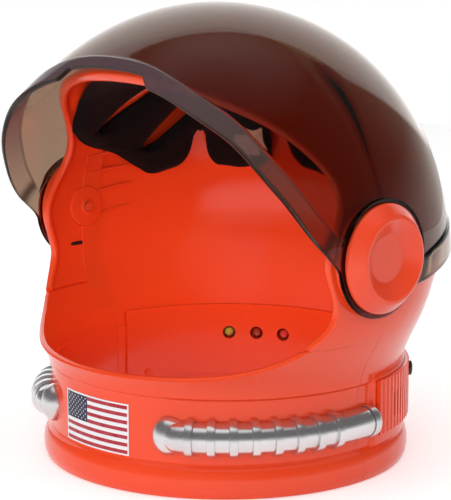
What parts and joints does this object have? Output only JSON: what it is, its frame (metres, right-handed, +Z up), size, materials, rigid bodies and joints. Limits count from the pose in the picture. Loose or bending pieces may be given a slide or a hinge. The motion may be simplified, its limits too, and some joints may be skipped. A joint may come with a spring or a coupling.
{
  "type": "play astronaut helmet",
  "caption": "Play astronaut helmet with an orange moulded shell, a smoke swivel visor, moulded side hoses, inner lights, a sound button and a foam crown pad.",
  "frame": {"origin": "centre of the round collar at the plane it stands on", "axes": "+Z up, the face opening looks along -Y, the wearer's left is +X, the visor turns about an axis along X"},
  "size_m": [0.2808, 0.241, 0.271],
  "materials": {
    "shell_orange": "glossy moulded orange",
    "cap_orange": "glossy moulded orange",
    "visor_smoke": "clear smoke tinted, glossy",
    "hose_silver": "satin silver metallised moulding",
    "flag_print": "printed vinyl label",
    "pad_foam": "black foam with a cloth face",
    "tag_cloth": "woven blank tag",
    "pivot_plastic": "plain moulded",
    "washer_black": "plain moulded",
    "screw_steel": "zinc plated",
    "light_green": "tinted clear dome",
    "light_amber": "tinted clear dome",
    "light_red": "tinted clear dome",
    "board_green": "printed board",
    "button_black": "glossy black",
    "switch_black": "plain moulded",
    "speaker_steel": "grey basket",
    "foam_black": "matt foam rubber",
    "cell_steel": "nickel plated",
    "wire_black": "wire sleeve"
  },
  "bodies": {
    "helmet": {"shell_front": "shell_orange", "chin_front": "shell_orange", "shell_rear": "shell_orange", "inner_cover": "shell_orange", "fluted_cover": "shell_orange", "battery_door": "shell_orange", "ear_cap_left": "cap_orange", "ear_cap_right": "cap_orange", "pivot_bush_left": "pivot_plastic", "pivot_bush_right": "pivot_plastic", "friction_washer_left": "washer_black", "friction_washer_right": "washer_black", "pivot_screw_left": "screw_steel", "pivot_screw_right": "screw_steel", "hose_left": "hose_silver", "hose_right": "hose_silver", "hose_end_left": "hose_silver", "hose_end_right": "hose_silver", "flag_label": "flag_print", "crown_pad": "pad_foam", "pad_tag": "tag_cloth", "battery_tray": "switch_black", "button_cells": "cell_steel", "battery_contact": "cell_steel", "door_screw": "screw_steel", "inner_cover_screws": "screw_steel", "light_red": "light_red", "light_amber": "light_amber", "light_green": "light_green", "light_strip": "board_green", "button_switch": "switch_black", "speaker": "speaker_steel", "speaker_gasket": "foam_black", "sound_board": "board_green", "wire_loom": "wire_black"},
    "visor": {"visor": "visor_smoke"},
    "button": {"sound_button": "button_black"}
  },
  "joints": [
    {"name": "visor_tilt", "type": "hinge", "parent": "helmet", "child": "visor", "pos_m": [0, -0.007, 0.135], "axis": [1, 0, 0], "range_deg": [0, 80]},
    {"name": "button_press", "type": "slide", "parent": "helmet", "child": "button", "axis": [-0.7431, -0.6691, 0], "range_m": [0, 0.0012], "stiffness_N_per_m": 800, "springref_m": -0.001}
  ]
}
